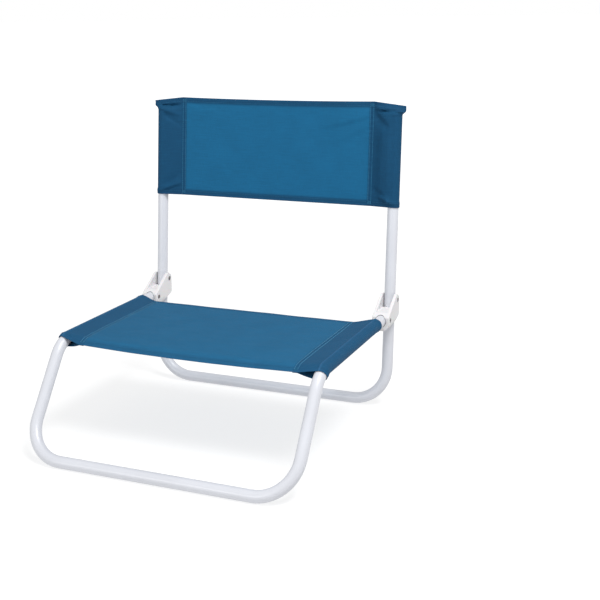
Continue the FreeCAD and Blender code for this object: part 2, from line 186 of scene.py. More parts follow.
# stations of one stitch: share of its length, height over the cloth in thread radii, share of its radius
STITCH_STATIONS = [(-0.5, -0.9, 0.45), (-0.4, 0.2, 0.9), (-0.15, 0.75, 1.0), (0.15, 0.75, 1.0),
                   (0.4, 0.2, 0.9), (0.5, -0.9, 0.45)]


def smooth(low, high, value):
    """0 below low, 1 above high, and a smooth rise between."""
    share = min(1.0, max(0.0, (value - low) / (high - low)))
    return share * share * (3 - 2 * share)


def mix(a, b, share):
    return a + (b - a) * share


# ======================================================================================
# Cloth: one strip per sling, laid out by its flat coordinates
# ======================================================================================

class Sleeve:
    """Section of a strip that runs across a panel, round a tube on each side and back to its seam.

    u is the flat distance across the strip from its middle. h is the height over the tubes' axes on
    the face side of the panel.
    """

    def __init__(self, seam_x, rise):
        self.seam_x = seam_x
        self.rise = rise
        self.across = HALF_WIDTH - seam_x
        self.reach = math.hypot(self.across, rise)
        self.towards_tip = math.pi - math.atan2(rise, self.across)
        self.run, self.arc = self.lengths(SLEEVE_R)
        self.loop = 2 * self.run + self.arc
        self.half_strip = seam_x + self.loop + FLAP

    def lengths(self, radius):
        spread = math.acos(radius / self.reach)
        run = math.sqrt(self.reach ** 2 - radius ** 2)
        return run, (2 * math.pi - 2 * spread) * radius

    def on_tube(self, angle, radius):
        return HALF_WIDTH + radius * math.cos(angle), radius * math.sin(angle)

    def at(self, u, radius, gap):
        """(x, h) of the strip's middle, and the (x, h) of its face-side normal."""
        side = 1.0 if u >= 0 else -1.0
        x, h, nx, nh = self.half(abs(u), radius, gap)
        return side * x, h, side * nx, nh

    def half(self, u, radius, gap):
        """The same for the half of the strip where u is above 0."""
        if u <= self.seam_x:
            return u, self.rise, 0.0, 1.0
        run, arc = self.lengths(radius)
        b = (u - self.seam_x) * (2 * run + arc) / self.loop
        spread = math.acos(radius / self.reach)
        upper = self.towards_tip - spread
        lower = self.towards_tip + spread - 2 * math.pi
        if b <= run:
            x, h = self.on_tube(upper, radius)
            share = b / run
            return mix(self.seam_x, x, share), mix(self.rise, h, share), math.cos(upper), math.sin(upper)
        if b <= run + arc:
            angle = upper - (b - run) / radius
            x, h = self.on_tube(angle, radius)
            return x, h, math.cos(angle), math.sin(angle)
        if b <= 2 * run + arc:
            x, h = self.on_tube(lower, radius)
            share = (b - run - arc) / run
            low = self.rise - gap
            return mix(x, self.seam_x, share), mix(h, low, share), math.cos(lower), math.sin(lower)
        return self.seam_x - (u - self.seam_x - self.loop), self.rise - gap, 0.0, -1.0

    def flat_x(self, u):
        """How far out this part of the strip lies where the sleeve is pressed flat."""
        b = min(max(abs(u) - self.seam_x, 0.0), self.loop)
        if abs(u) > self.seam_x + self.loop:
            return self.seam_x - (abs(u) - self.seam_x - self.loop)
        if abs(u) <= self.seam_x:
            return abs(u)
        return self.seam_x + min(b, self.loop - b)

    def is_under(self, u):
        """True for the part of the strip past the outer fold, on the underside of the sleeve."""
        return abs(u) - self.seam_x > self.loop / 2

    def stations(self):
        """Values of u for the mesh, close together where the strip bends."""
        half = [self.seam_x * step / PANEL_COLUMNS for step in range(PANEL_COLUMNS + 1)]
        rows = [self.seam_x - row + shift for row in SEAM_ROWS for shift in (-ROW_FLANK, 0.0, ROW_FLANK)]
        half = sorted(set(half[:-1] + rows + [self.seam_x]))
        at = self.seam_x
        for length, count in ((self.run, RUN_OUT_COLUMNS), (self.arc, ROUND_COLUMNS),
                              (self.run, RUN_BACK_COLUMNS), (FLAP, FLAP_COLUMNS)):
            half += [at + length * step / count for step in range(1, count + 1)]
            at += length
        return [-u for u in reversed(half[1:])] + half


def along_stations(depth, count):
    """(v, layer offset) down the strip, with a folded hem at each end."""
    start = [(v, -LAYER * share) for v, share in HEM_FOLD]
    end = [(depth - v, -LAYER * share) for v, share in reversed(HEM_FOLD)]
    middle_low = HEM_FOLD[-1][0]
    middle = depth - 2 * middle_low
    main = [(middle_low + middle * step / count, 0.0) for step in range(1, count)]
    return start + main + end


def in_hem(v, depth):
    """1 in the hems, 0 between them, with a short slope."""
    edge = min(v, depth - v)
    return 1.0 - smooth(HEM - HEM_SLOPE_BEFORE, HEM + HEM_SLOPE_AFTER, edge)


def in_flap(u, seam_x):
    """1 on the flaps and the sleeves, 0 on the single layer between them."""
    raw_edge = seam_x - FLAP
    return smooth(raw_edge - FLAP_EDGE_BEFORE, raw_edge + FLAP_EDGE_AFTER, abs(u))


def layer_gap(v, depth):
    """From the middle of a panel's top layer to its flap's, wider where the hems' layers lie between."""
    return mix(LAYER, 3 * LAYER, in_hem(v, depth))


def sleeve_radius(v, depth):
    return SLEEVE_R + LAYER * in_hem(v, depth)


def layer_shade(layer_painted_shade, hemmed):
    """Painted shade of the layers: 0 where light comes through one layer, near 1 where four layers stop
    it.
    """
    return 1.0 - (1.0 - LAYER_STOPS * layer_painted_shade) * (1.0 - LAYER_STOPS * hemmed)


def cloth_piece(name, across, along, place, layers, creased, material):
    """A closed, evenly thick cloth.

    place(u, v, offset) gives the middle of the cloth, layers(u, v) the painted shade where layers stop
    light, and creased(u, v) how far its colour goes lighter along creases and folded edges.
    """
    verts = [place(u, v, offset) for v, offset in along for u in across]
    wide = len(across)
    faces = []
    for row in range(len(along) - 1):
        for col in range(wide - 1):
            corner = row * wide + col
            faces.append((corner, corner + 1, corner + wide + 1, corner + wide))
    mesh = bpy.data.meshes.new(name)
    mesh.from_pydata(verts, [], faces)
    spots = [(u, v) for v, _ in along for u in across]
    flat_place = [value for u, v in spots for value in (u, v, 0.0)]
    store(mesh, "flat_place", "FLOAT_VECTOR", "vector", flat_place)
    # painted light and shade: how much of the light from behind the cloth's layers stop
    store(mesh, "layer_painted_shade", "FLOAT", "value", [layers(u, v) for u, v in spots])
    store(mesh, "lighter_crease", "FLOAT", "value", [creased(u, v) for u, v in spots])
    piece = bpy.data.objects.new(name, mesh)
    bpy.context.scene.collection.objects.link(piece)
    solid = piece.modifiers.new("thickness", "SOLIDIFY")
    solid.thickness = CLOTH
    solid.offset = 0.0
    apply_modifiers(piece)
    finish_mesh(piece, material, CLOTH_SHARP_DEGREES)
    return piece


def store(mesh, name, kind, field, values):
    """Keep a value at each vertex for the material to read."""
    mesh.attributes.new(name, kind, "POINT").data.foreach_set(field, values)


def apply_modifiers(piece):
    shown = piece.evaluated_get(bpy.context.evaluated_depsgraph_get())
    mesh = bpy.data.meshes.new_from_object(shown)
    piece.modifiers.clear()
    piece.data = mesh


def finish_mesh(piece, material, sharp_degrees):
    mesh = piece.data
    mesh.materials.clear()
    mesh.materials.append(material)
    mesh.shade_smooth()
    mesh.set_sharp_from_angle(angle=math.radians(sharp_degrees))


def pleat(x, y, start, end, width, height):
    """A crease from start to end: a steep side and a slow one, highest near its start."""
    ax, ay = start
    dx, dy = end[0] - ax, end[1] - ay
    length = math.hypot(dx, dy)
    share = ((x - ax) * dx + (y - ay) * dy) / length ** 2
    if not 0.0 < share < 1.0:
        return 0.0
    away = ((x - ax) * dy - (y - ay) * dx) / length / width
    reach = PLEAT_SLOW_SIDE if away > 0 else PLEAT_STEEP_SIDE
    swell = math.sin(math.pi * share ** PLEAT_LEAN) ** PLEAT_BLUNT
    return height * swell * math.exp(-(away / reach) ** 2)


def ripple(x, y, fine, seed):
    """Gentle unevenness of hung cloth, from -1 to 1."""
    return noise.noise(Vector((x * fine, y * fine, seed)))


def ripples(x, y, kinds):
    return sum(height * ripple(x * across, y * along, fine, seed)
               for height, across, along, fine, seed in kinds)


def seam_relief(x, along, seam_x, puckers):
    """Height of the puckers beside a seam, and depth of the dips under its two rows of stitches."""
    height, pitch, wander, seed = puckers
    near_seam = math.exp(-((abs(x) - seam_x + PUCKER_IN) / PUCKER_SPREAD) ** 2)
    wave = math.sin(along * 2 * math.pi / pitch + wander * ripple(x, along, PUCKER_FINE, seed))
    dips = sum(math.exp(-((abs(x) - seam_x + row) / STITCH_DIP_HALF) ** 2) for row in SEAM_ROWS)
    return height * near_seam * wave, STITCH_DIP * dips


# ---- seat ----
seat_section = Sleeve(SEAT_SEAM_X, SEAT_RISE)
SEAT_FRONT_Q = KNEE_BEND_R * SEAT_FRONT_TURN
SEAT_DEPTH = SEAT_PANEL_REAR_Y - BEND_START_Y + (KNEE_BEND_R + SEAT_RISE) * SEAT_FRONT_TURN


def rail_place(q):
    """(y, z) on the rail's axis at q forward of the knee's start, and the (y, z) of its upward normal."""
    if q <= 0:
        return BEND_START_Y - q, RAIL_Z, 0.0, 1.0
    turn = q / KNEE_BEND_R
    ny, nz = -math.sin(turn), math.cos(turn)
    return BEND_START_Y + KNEE_BEND_R * ny, RAIL_Z - KNEE_BEND_R * (1 - nz), ny, nz


def seat_rear_q(u):
    """The rear edge runs straight across the panel and a little further back over the rails."""
    flat = seat_section.flat_x(u)
    rear_y = mix(SEAT_PANEL_REAR_Y, SEAT_SLEEVE_REAR_Y, smooth(SEAT_SEAM_X, HALF_WIDTH, flat))
    return BEND_START_Y - rear_y


def seat_front_q(u):
    """The front edge hangs a little in the middle and draws back round the tubes."""
    flat = seat_section.flat_x(u)
    if flat <= SEAT_SEAM_X:
        return SEAT_FRONT_Q + mix(SEAT_FRONT_DROP, 0.0, (flat / SEAT_SEAM_X) ** 2)
    outer_fold = SEAT_SEAM_X + seat_section.loop / 2
    draw = SEAT_FRONT_DRAW[1 if u > 0 else -1]
    return SEAT_FRONT_Q - draw * (flat - SEAT_SEAM_X) / (outer_fold - SEAT_SEAM_X)


def seat_q(u, v):
    return mix(seat_rear_q(u), seat_front_q(u), v / SEAT_DEPTH)


def seat_relief(x, v):
    """Sag of the panel, a pull along the seams and slight ripples."""
    inside = 1.0 - smooth(SEAT_SEAM_X, HALF_WIDTH - SEAT_CALM, abs(x))
    bow = max(0.0, 1.0 - (x / HALF_WIDTH) ** 2)
    to_front = smooth(SEAT_DEPTH * SEAT_FRONT_PART, SEAT_DEPTH, v)
    to_rear = 1.0 - smooth(0.0, SEAT_DEPTH * SEAT_REAR_PART, v)
    sag = bow * (SEAT_SAG + SEAT_SAG_FRONT * to_front - SEAT_SAG_REAR * to_rear)
    pucker, dip = seam_relief(x, v, SEAT_SEAM_X, SEAT_PUCKERS)
    return inside * (ripples(x, v, SEAT_RIPPLES) + pucker - sag - dip)


def seat_creased(u, v):
    """1 along the pressed crease where the cloth first meets the rail, whose colour carries a painted
    highlight.
    """
    along_upper = abs(u) - SEAT_SEAM_X - seat_section.run
    return math.exp(-(along_upper / RAIL_CREASE_HALF) ** 2)


def knee_lift(h, q):
    """Taut cloth bridges the knee's bend and creases half way round it, but not under the rail."""
    turn = q / KNEE_BEND_R
    half_turn = SEAT_FRONT_TURN / 2
    nearest = half_turn - math.hypot(turn - half_turn, KNEE_CREASE_SOFT)
    if nearest <= 0.0:
        return 0.0
    lift = (KNEE_BEND_R + SEAT_RISE) * (1.0 / math.cos(nearest) - 1.0)
    return lift * smooth(SLEEVE_R * KNEE_LIFT_NONE, SLEEVE_R * KNEE_LIFT_FULL, h)


def seat_surface(x, h, q):
    y, z, ny, nz = rail_place(q)
    h += knee_lift(h, q)
    return Vector((x, y + ny * h, z + nz * h))


def seat_place(u, v, offset):
    x, h, nx, nh = seat_section.at(u, sleeve_radius(v, SEAT_DEPTH), layer_gap(v, SEAT_DEPTH))
    slack = 0.0
    if seat_section.is_under(u):
        slack = under_slack(abs(x), SEAT_SEAM_X)
    h += seat_relief(x, v) + RAIL_CREASE * seat_creased(u, v) - slack
    return seat_surface(x + nx * offset, h + nh * offset, seat_q(u, v))


def under_slack(x, seam_x):
    """How far the slack lower layer of a sleeve hangs between the seam and the tube."""
    share = (x - seam_x) / (HALF_WIDTH - SLEEVE_R * SLACK_END - seam_x)
    if not 0.0 < share < 1.0:
        return 0.0
    return UNDER_SLACK * math.sin(math.pi * share)


def seat_layers(u, v):
    return layer_shade(in_flap(u, SEAT_SEAM_X), in_hem(v, SEAT_DEPTH) * SEAT_HEM_SHADE)


# ---- back ----
back_section = Sleeve(BACK_SEAM_X, 0.0)
BACK_DEPTH = BACK_HIGH - BACK_LOW
EAR_X = BACK_SEAM_X + back_section.loop / 2

# creases of the front of each pocket, (side, start, end, width, height), in (x, along the post)
POCKET_CREASES = [
    (-1, (0.2430, 0.5060), (0.1865, 0.5115), 0.0027, 0.0056),
    (-1, (0.2400, 0.5030), (0.1860, 0.4870), 0.0026, 0.0026),
    (-1, (0.2300, 0.4940), (0.1880, 0.4680), 0.0032, -0.0022),
    (-1, (0.2360, 0.3460), (0.1840, 0.3650), 0.0026, 0.0042),
    (-1, (0.2220, 0.3500), (0.1860, 0.3840), 0.0034, -0.0020),
    (1, (0.2430, 0.5050), (0.1860, 0.5105), 0.0030, 0.0078),
    (1, (0.1860, 0.5030), (0.2160, 0.4760), 0.0042, -0.0034),
    (1, (0.2040, 0.3560), (0.2080, 0.5060), 0.0140, 0.0064),
    (1, (0.2340, 0.3450), (0.1990, 0.3600), 0.0026, 0.0062),
    (1, (0.1880, 0.3760), (0.2160, 0.3560), 0.0036, -0.0026),
]

# slow pulls across the panel, in (x, along the post)
PANEL_CREASES = [
    ((0.183, 0.500), (0.085, 0.474), 0.0070, 0.0020),
    ((0.183, 0.487), (0.110, 0.448), 0.0080, 0.0012),
    ((-0.183, 0.505), (-0.105, 0.492), 0.0070, 0.0012),
    ((0.180, 0.356), (0.110, 0.372), 0.0090, 0.0006),
    ((-0.180, 0.356), (-0.120, 0.366), 0.0090, 0.0006),
]


def back_edge(flat_x):
    """Top edge along the post: it dips a little in the middle and slopes down to the ears."""
    if flat_x <= BACK_SEAM_X:
        return BACK_HIGH - BACK_HIGH_SAG * (1 - (flat_x / BACK_SEAM_X) ** 2)
    return mix(BACK_HIGH, EAR_HIGH, (flat_x - BACK_SEAM_X) / (EAR_X - BACK_SEAM_X))


def back_s(u, v):
    return mix(BACK_LOW, back_edge(back_section.flat_x(u)), v / BACK_DEPTH)


def panel_relief(x, s):
    """The panel hollows slightly between its tight hems, with slow pulls to the corners."""
    inside = 1.0 - smooth(BACK_SEAM_X - BACK_CALM_BEFORE, BACK_SEAM_X + BACK_CALM_AFTER, abs(x))
    bow = max(0.0, 1.0 - (x / BACK_SEAM_X) ** 4)
    share = min(1.0, max(0.0, (s - BACK_LOW) / (BACK_HIGH - BACK_LOW)))
    hollow = BACK_HOLLOW * bow * math.sin(math.pi * share) ** BACK_HOLLOW_BLUNT
    pulls = sum(pleat(x, s, *crease) for crease in PANEL_CREASES)
    pucker, dip = seam_relief(x, s, BACK_SEAM_X, BACK_PUCKERS)
    return inside * (pulls + ripples(x, s, BACK_RIPPLES) + pucker - hollow - dip)


def pocket_relief(x, s, side):
    """Creases, rolled top edge and slight ripples of the front of the pocket on this side."""
    creases = sum(pleat(abs(x), s, *crease[1:]) for crease in POCKET_CREASES if crease[0] == side)
    if s < DOME_START:
        creases *= 1.0 - POST_PRESS * smooth(HALF_WIDTH - TUBE_R, HALF_WIDTH, abs(x))
    past_seam = smooth(BACK_SEAM_X, BACK_SEAM_X + POCKET_CALM, abs(x))
    free = math.sin(math.pi * min(1.0, (abs(x) - BACK_SEAM_X) / (HALF_WIDTH - BACK_SEAM_X)))
    edge = back_edge(abs(x))
    rolled = TOP_ROLL * smooth(edge - TOP_ROLL_REACH, edge, s)
    return past_seam * (creases + rolled + ripples(x, s, POCKET_RIPPLES) * max(0.0, free))


def clear_of_post(x, h, s, side):
    """Push a sunken crease back out to the post's surface, or to its cap's dome."""
    over_cut = min(1.0, max(0.0, (s - DOME_START) / CAP_HEIGHT))
    least = (TUBE_R + CLOTH) * math.sqrt(1.0 - over_cut * over_cut)
    dx = x - side * HALF_WIDTH
    away = math.hypot(dx, h)
    if away >= least or away == 0.0:
        return x, h
    return side * HALF_WIDTH + dx * least / away, h * least / away


def back_surface(x, h, s):
    """h is forward of the posts' plane."""
    y = REAR_BAR_Y + s * math.sin(LEAN) - h * math.cos(LEAN)
    z = TUBE_R + s * math.cos(LEAN) + h * math.sin(LEAN)
    return Vector((x, y, z))


def back_place(u, v, offset):
    s = back_s(u, v)
    gap = layer_gap(v, BACK_DEPTH)
    x, h, nx, nh = back_section.at(u, sleeve_radius(v, BACK_DEPTH), gap)
    if abs(u) > BACK_SEAM_X:
        side = 1 if u > 0 else -1
        under = back_section.is_under(u)
        rise = min(1.0, max(0.0, (s - DOME_START) / (DOME_END - DOME_START)))
        open_share = math.sqrt(1.0 - rise * rise)
        pressed = smooth(PRESS_START, DOME_END, s)
        flat_h = -gap if under else 0.0
        h = mix(flat_h, h, open_share)
        x = mix(x, side * back_section.flat_x(u), pressed)
        nx = nx * (1.0 - pressed)
        nh = mix(nh, -1.0 if under else 1.0, pressed)
        if not under:
            h += pocket_relief(x, s, side)
        x, h = clear_of_post(x, h, s, side)
    h += panel_relief(x, s)
    return back_surface(x + nx * offset, h + nh * offset, s)


def back_creased(u, v):
    """A lighter colour along the folded edges at the top and the bottom."""
    edge = min(v, BACK_DEPTH - v)
    return EDGE_CREASE * math.exp(-(edge / EDGE_CREASE_HALF) ** 2)


def back_layers(u, v):
    return layer_shade(in_flap(u, BACK_SEAM_X), in_hem(v, BACK_DEPTH))


# ======================================================================================
# Thread
# ======================================================================================

def thread_piece(name, stitches, material):
    """Every stitch is a short thread that rises out of the cloth and dives back into it.

    A stitch is (middle, direction along it, direction out of the cloth, length).
    """
    verts = []
    faces = []
    for middle, ahead, up, length in stitches:
        ahead = ahead.normalized()
        across = ahead.cross(up).normalized()
        up = across.cross(ahead)
        first = len(verts)
        for share, height, girth in STITCH_STATIONS:
            centre = middle + ahead * (share * length) + up * (height * THREAD_R)
            for side in range(STITCH_SIDES):
                angle = 2 * math.pi * side / STITCH_SIDES
                around = across * math.cos(angle) + up * math.sin(angle)
                verts.append(centre + around * (THREAD_R * girth))
        for ring in range(len(STITCH_STATIONS) - 1):
            for side in range(STITCH_SIDES):
                low = first + ring * STITCH_SIDES
                after = (side + 1) % STITCH_SIDES
                high = low + STITCH_SIDES
                faces.append((low + side, high + side, high + after, low + after))
        last = first + (len(STITCH_STATIONS) - 1) * STITCH_SIDES
        faces.append(tuple(first + side for side in range(STITCH_SIDES)))
        faces.append(tuple(last + side for side in reversed(range(STITCH_SIDES))))
    mesh = bpy.data.meshes.new(name)
    mesh.from_pydata(verts, [], faces)
    piece = bpy.data.objects.new(name, mesh)
    bpy.context.scene.collection.objects.link(piece)
    finish_mesh(piece, material, THREAD_SHARP_DEGREES)
    return piece


def row_of_stitches(point, outward, start, end):
    """Stitches along point(t) from t = start to end; outward(t) leaves the cloth."""
    count = max(1, int(abs(end - start) / STITCH_PITCH))
    step = (end - start) / count / 4
    stitches = []
    for index in range(count):
        t = start + (end - start) * (index + 0.5) / count
        ahead = point(t + step) - point(t - step)
        stitches.append((point(t), ahead, outward(t), STITCH))
    return stitches


def bar_tack(point, outward, width, start, end):
    """A close zigzag that locks the two rows at a seam's end. point takes (across, along)."""
    stitches = []
    for index in range(TACK_TURNS):
        low = mix(start, end, index / TACK_TURNS)
        high = mix(start, end, (index + 1) / TACK_TURNS)
        one, other = (0.0, width) if index % 2 == 0 else (width, 0.0)
        a, b = point(one, low), point(other, high)
        stitches.append(((a + b) / 2, b - a, outward, (b - a).length))
    return stitches


def row_on_both_faces(spot, thread_point, up, start, end):
    """A row through both faces of a panel. spot(t) gives the (x, v) of the row."""
    stitches = []
    for face in (1, -1):
        def point(t, face=face):
            x, v = spot(t)
            return thread_point(x, v, face)

        def outward(t, face=face):
            x, v = spot(t)
            return up(x, v) * face
        stitches += row_of_stitches(point, outward, start, end)
    return stitches


def seam_stitches(thread_point, up, seam_x, start, end):
    """The two rows of the seam on each side."""
    stitches = []
    for side in (-1, 1):
        for row in SEAM_ROWS:
            def spot(v, x=side * (seam_x - row)):
                return x, v
            stitches += row_on_both_faces(spot, thread_point, up, start, end)
    return stitches


def panel_hem_row(thread_point, up, seam_x, v):
    """The row across the panel at v, from seam to seam."""
    def spot(x):
        return x, v
    reach = seam_x - SEAM_ROWS[1] - HEM_ROW_STOP
    return row_on_both_faces(spot, thread_point, up, -reach, reach)


def sleeve_hem_row(place, seam_x, side, v, near, far):
    """The row at v on the outside of one sleeve, from near to far past the seam line."""
    def point(past_seam):
        return place(side * (seam_x + past_seam), v, CLOTH / 2)

    def outward(past_seam):
        u = side * (seam_x + past_seam)
        return place(u, v, CLOTH) - place(u, v, 0.0)
    return row_of_stitches(point, outward, near, far)


def seam_end_tacks(thread_point, up, seam_x, depth, side):
    """A bar tack across the two rows at each end of one seam."""
    def point(across, v):
        return thread_point(side * (seam_x - SEAM_ROWS[0] - across), v, 1)
    width = SEAM_ROWS[1] - SEAM_ROWS[0]
    stitches = []
    for low, high in ((TACK_START, TACK_END), (depth - TACK_END, depth - TACK_START)):
        stitches += bar_tack(point, up(0.0, low), width, low, high)
    return stitches


def face_height(x, v, face, seam_x, depth):
    """From the middle of the panel's top layer to its face (1), or to its lowest layer's face (-1)."""
    if face > 0:
        return CLOTH / 2
    flap = abs(x) > seam_x - FLAP
    lowest = layer_gap(v, depth) if flap else LAYER * in_hem(v, depth)
    return -(CLOTH / 2 + lowest)


def seat_up(x, v):
    ny, nz = rail_place(seat_q(x, v))[2:]
    return Vector((0.0, ny, nz))


def seat_thread_point(x, v, face):
    h = SEAT_RISE + seat_relief(x, v) + face_height(x, v, face, SEAT_SEAM_X, SEAT_DEPTH)
    return seat_surface(x, h, seat_q(x, v))


def seat_seam_stitches():
    end = SEAT_DEPTH - SEAT_SEAM_STOP
    return seam_stitches(seat_thread_point, seat_up, SEAT_SEAM_X, SEAT_SEAM_STOP, end)


def seat_hem_stitches():
    """Hems of the panel and round the sleeves, and the tacks at the seams' ends."""
    stitches = []
    sleeve_end = seat_section.loop - SLEEVE_ROW_STOP
    for v in (HEM_ROW, SEAT_DEPTH - HEM_ROW):
        stitches += panel_hem_row(seat_thread_point, seat_up, SEAT_SEAM_X, v)
        for side in (-1, 1):
            stitches += sleeve_hem_row(seat_place, SEAT_SEAM_X, side, v, SLEEVE_ROW_STOP, sleeve_end)
    for side in (-1, 1):
        stitches += seam_end_tacks(seat_thread_point, seat_up, SEAT_SEAM_X, SEAT_DEPTH, side)
    return stitches


def back_up(x, v):
    """Straight out of the posts' plane, the same all over the back."""
    return Vector((0.0, -math.cos(LEAN), math.sin(LEAN)))


def back_thread_point(x, v, face):
    s = back_s(x, v)
    h = panel_relief(x, s) + face_height(x, v, face, BACK_SEAM_X, BACK_DEPTH)
    return back_surface(x, h, s)


def back_seam_stitches():
    end = BACK_DEPTH - BACK_SEAM_STOP
    return seam_stitches(back_thread_point, back_up, BACK_SEAM_X, BACK_SEAM_STOP, end)


def back_hem_stitches():
    """Hems of the panel, the rows that close each pocket out to its ear, and the tacks."""
    stitches = []
    hem_rows = (HEM_ROW, BACK_DEPTH - HEM_ROW)
    for v in hem_rows:
        stitches += panel_hem_row(back_thread_point, back_up, BACK_SEAM_X, v)
    ear = back_section.loop / 2
    front_part = (SLEEVE_ROW_STOP, ear - EAR_ROW_STOP)
    rear_part = (ear + EAR_ROW_STOP, 2 * ear - SLEEVE_ROW_STOP)
    for side in (-1, 1):
        for near, far in (front_part, rear_part):
            for v in hem_rows:
                stitches += sleeve_hem_row(back_place, BACK_SEAM_X, side, v, near, far)
        stitches += seam_end_tacks(back_thread_point, back_up, BACK_SEAM_X, BACK_DEPTH, side)
    return stitches


# ======================================================================================
# Shader groups
# ======================================================================================

NOISE_LOW = 0.3               # most of a noise lies between these
NOISE_HIGH = 0.7

# sockets of a Mix node, which share their names
MIX_SHARE = 0
MIX_NUMBERS = (2, 3)
MIX_NUMBER_OUT = 0
MIX_COLOURS = (6, 7)
MIX_COLOUR_OUT = 2

THREAD_ROUND = 3.4            # fall of a thread's height to its sides
THREAD_SHADES = (0.96, 1.04)  # where the warp is on top, and where the weft is
SLUB_LONG = 60.0              # slubs to the metre along a thread and across it
SLUB_FINE = 1500.0
PEEL_SHARE = 0.8              # of the grain's height; the rest is speckle
PATCH_SCALE = 14.0
SCUFF_STRETCH = (120.0, 700.0, 700.0)
SCUFF_NOISE = (0.60, 0.72)    # noise over which a scuff appears
GAP_EDGE = (0.00006, 0.00022)   # past the gap's radius, where the painted shade fades out


def node_group(name, inputs, outputs):
    """A shader group with named sockets; inputs and outputs are (name, kind, default)."""
    group = bpy.data.node_groups.new(name, "ShaderNodeTree")
    for label, kind, default in inputs:
        socket = group.interface.new_socket(label, in_out="INPUT", socket_type=kind)
        if default is not None:
            socket.default_value = default
    for label, kind in outputs:
        group.interface.new_socket(label, in_out="OUTPUT", socket_type=kind)
    entry = group.nodes.new("NodeGroupInput")
    exit_node = group.nodes.new("NodeGroupOutput")
    return group, entry.outputs, exit_node.inputs


def math_node(tree, operation, *values, clamp=False):
    node = tree.nodes.new("ShaderNodeMath")
    node.operation = operation
    node.use_clamp = clamp
    for socket, value in zip(node.inputs, values):
        feed(tree, socket, value)
    return node.outputs[0]


def feed(tree, socket, value):
    """Link a socket, or set it where the value is a plain number or colour."""
    if isinstance(value, bpy.types.NodeSocket):
        tree.links.new(value, socket)
    else:
        socket.default_value = value


def noise_node(tree, place, scale=1.0, detail=2.0, roughness=0.5):
    node = tree.nodes.new("ShaderNodeTexNoise")
    feed(tree, node.inputs["Vector"], place)
    feed(tree, node.inputs["Scale"], scale)
    node.inputs["Detail"].default_value = detail
    node.inputs["Roughness"].default_value = roughness
    return node.outputs["Fac"]


def range_node(tree, value, low, high, to_low, to_high):
    node = tree.nodes.new("ShaderNodeMapRange")
    for label, number in (("Value", value), ("From Min", low), ("From Max", high),
                          ("To Min", to_low), ("To Max", to_high)):
        feed(tree, node.inputs[label], number)
    return node.outputs["Result"]


def spread_noise(tree, value, to_low, to_high):
    """Spread the usual span of a noise over to_low to to_high."""
    return range_node(tree, value, NOISE_LOW, NOISE_HIGH, to_low, to_high)


def mix_colour(tree, share, a, b, blend="MIX"):
    node = tree.nodes.new("ShaderNodeMix")
    node.data_type = "RGBA"
    node.blend_type = blend
    feed(tree, node.inputs[MIX_SHARE], share)
    for index, colour in zip(MIX_COLOURS, (a, b)):
        feed(tree, node.inputs[index], colour)
    return node.outputs[MIX_COLOUR_OUT]


def mix_number(tree, share, a, b):
    node = tree.nodes.new("ShaderNodeMix")
    feed(tree, node.inputs[MIX_SHARE], share)
    for index, number in zip(MIX_NUMBERS, (a, b)):
        feed(tree, node.inputs[index], number)
    return node.outputs[MIX_NUMBER_OUT]


def stretch(tree, place, scale):
    node = tree.nodes.new("ShaderNodeMapping")
    feed(tree, node.inputs["Vector"], place)
    node.inputs["Scale"].default_value = scale
    return node.outputs["Vector"]


def plain_weave_group():
    """Over-and-under weave of round threads, from the cloth's flat place in metres."""
    group, entry, out = node_group(
        "plain_weave",
        [("Flat Place", "NodeSocketVector", None), ("Thread Pitch", "NodeSocketFloat", 0.0006)],
        [("Height", "NodeSocketFloat"), ("Thread Shade", "NodeSocketFloat"), ("Slub", "NodeSocketFloat")],
    )
    threads = group.nodes.new("ShaderNodeVectorMath")
    threads.operation = "DIVIDE"
    group.links.new(entry["Flat Place"], threads.inputs[0])
    pitch = group.nodes.new("ShaderNodeCombineXYZ")
    for axis in range(3):
        group.links.new(entry["Thread Pitch"], pitch.inputs[axis])
    group.links.new(pitch.outputs[0], threads.inputs[1])
    split = group.nodes.new("ShaderNodeSeparateXYZ")
    group.links.new(threads.outputs[0], split.inputs[0])
    profiles = []
    cells = []
    for line in (split.outputs["X"], split.outputs["Y"]):
        local = math_node(group, "SUBTRACT", math_node(group, "FRACT", line), 0.5)
        square = math_node(group, "MULTIPLY", local, local)
        fall = math_node(group, "MULTIPLY", square, THREAD_ROUND)
        profiles.append(math_node(group, "SUBTRACT", 1.0, fall))
        cells.append(math_node(group, "FLOOR", line))
    warp, weft = profiles
    parity = math_node(group, "PINGPONG", math_node(group, "ADD", *cells), 1.0)
    warp_over = math_node(group, "MULTIPLY", warp, math_node(group, "SQRT", weft))
    weft_over = math_node(group, "MULTIPLY", weft, math_node(group, "SQRT", warp))
    group.links.new(mix_number(group, parity, warp_over, weft_over), out["Height"])
    group.links.new(range_node(group, parity, 0.0, 1.0, *THREAD_SHADES), out["Thread Shade"])
    along_weft = noise_node(group, stretch(group, entry["Flat Place"], (SLUB_LONG, SLUB_FINE, 1.0)))
    along_warp = noise_node(group, stretch(group, entry["Flat Place"], (SLUB_FINE, SLUB_LONG, 1.0)))
    slub = math_node(group, "MULTIPLY", math_node(group, "ADD", along_weft, along_warp), 0.5)
    group.links.new(slub, out["Slub"])
    return group


def fine_grain_group():
    """Orange peel and fine speckle of paint or moulded plastic, from the place in metres."""
    group, entry, out = node_group(
        "fine_grain",
        [("Place", "NodeSocketVector", None), ("Peel Scale", "NodeSocketFloat", 900.0),
         ("Speckle Scale", "NodeSocketFloat", 3000.0)],
        [("Height", "NodeSocketFloat"), ("Speckle", "NodeSocketFloat"), ("Patches", "NodeSocketFloat")],
    )
    peel = noise_node(group, entry["Place"], entry["Peel Scale"], detail=1.0)
    speckle = noise_node(group, entry["Place"], entry["Speckle Scale"])
    height = math_node(group, "ADD", math_node(group, "MULTIPLY", peel, PEEL_SHARE),
                       math_node(group, "MULTIPLY", speckle, 1.0 - PEEL_SHARE))
    group.links.new(height, out["Height"])
    group.links.new(speckle, out["Speckle"])
    group.links.new(noise_node(group, entry["Place"], PATCH_SCALE, detail=3.0), out["Patches"])
    return group


